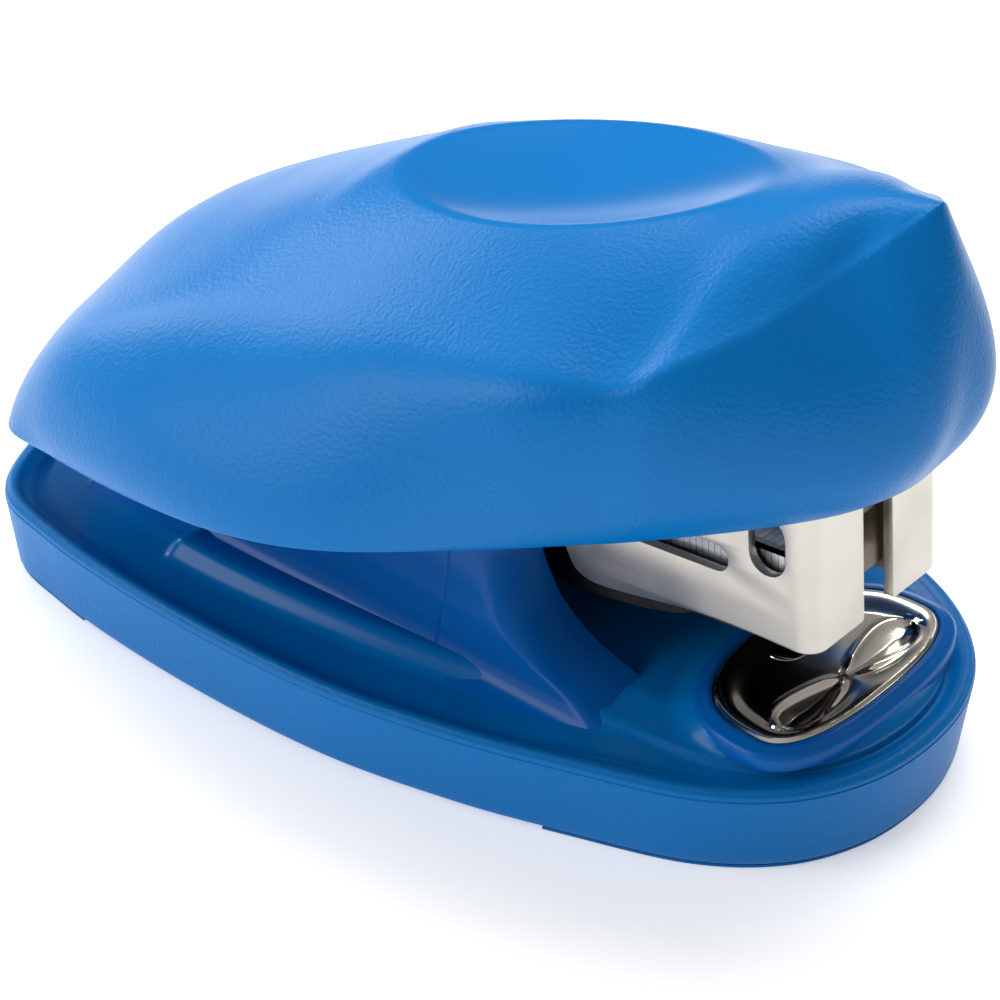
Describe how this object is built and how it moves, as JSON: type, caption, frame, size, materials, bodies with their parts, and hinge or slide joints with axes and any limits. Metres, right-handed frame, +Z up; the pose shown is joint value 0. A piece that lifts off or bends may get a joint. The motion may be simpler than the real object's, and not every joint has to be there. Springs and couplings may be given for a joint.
{
  "type": "mini stapler",
  "caption": "Small hand stapler with a hinged oval-dished press cap over a sprung two-flange steel magazine, on a teardrop base with an oval anvil.",
  "frame": {"origin": "middle of the bounding box in plan, at the table under the feet", "axes": "+X forward to the nose and anvil, +Y to the stapler's left, +Z up"},
  "size_m": [0.0756, 0.0522, 0.0464],
  "materials": {
    "base_plastic": "glossy moulded deck, fine texture on the skirt",
    "cap_plastic": "fine pebbled texture, satin; smooth thumb dish",
    "foot_plastic": "satin",
    "anvil_chrome": "polished",
    "nickel_sheet": "satin nickel plate",
    "dark_steel": "plain sheet",
    "steel": "zinc plated",
    "staple_wire": "bright wire"
  },
  "bodies": {
    "base": {"base_shell": "base_plastic", "base_cover": "base_plastic", "cover_screws": "steel", "front_foot": "foot_plastic", "rear_foot": "foot_plastic", "anvil_plate": "anvil_chrome", "anvil_rivet": "steel", "hinge_pin": "steel", "pin_washers": "steel", "lift_spring": "steel"},
    "magazine": {"magazine_channel": "nickel_sheet", "staple_rail": "dark_steel", "rail_rivets": "steel", "guide_rod": "steel", "rod_bracket": "dark_steel", "pusher_spring": "steel", "staple_strip": "staple_wire"},
    "pusher": {"staple_pusher": "dark_steel"},
    "cap": {"cap_shell": "cap_plastic", "cap_posts": "cap_plastic", "driver_carrier": "steel", "driver_blade": "dark_steel", "blade_rivets": "steel", "carrier_screws": "steel", "cap_spring": "steel"}
  },
  "joints": [
    {"name": "magazine_hinge", "type": "hinge", "parent": "base", "child": "magazine", "pos_m": [-0.025, 0, 0.0145], "axis": [0, 1, 0], "range_deg": [0, 5.2], "stiffness_Nm_per_rad": 2.5, "springref_deg": -2.86, "deforming": ["lift_spring"]},
    {"name": "cap_hinge", "type": "hinge", "parent": "magazine", "child": "cap", "pos_m": [-0.025, 0, 0.0145], "axis": [0, 1, 0], "range_deg": [-39, 7.2], "stiffness_Nm_per_rad": 1.5, "deforming": ["cap_spring"]},
    {"name": "pusher_slide", "type": "slide", "parent": "magazine", "child": "pusher", "axis": [0.9952, 0, 0.0976], "range_m": [-0.011, 0], "stiffness_N_per_m": 60, "springref_m": 0.02, "deforming": ["pusher_spring"]}
  ]
}
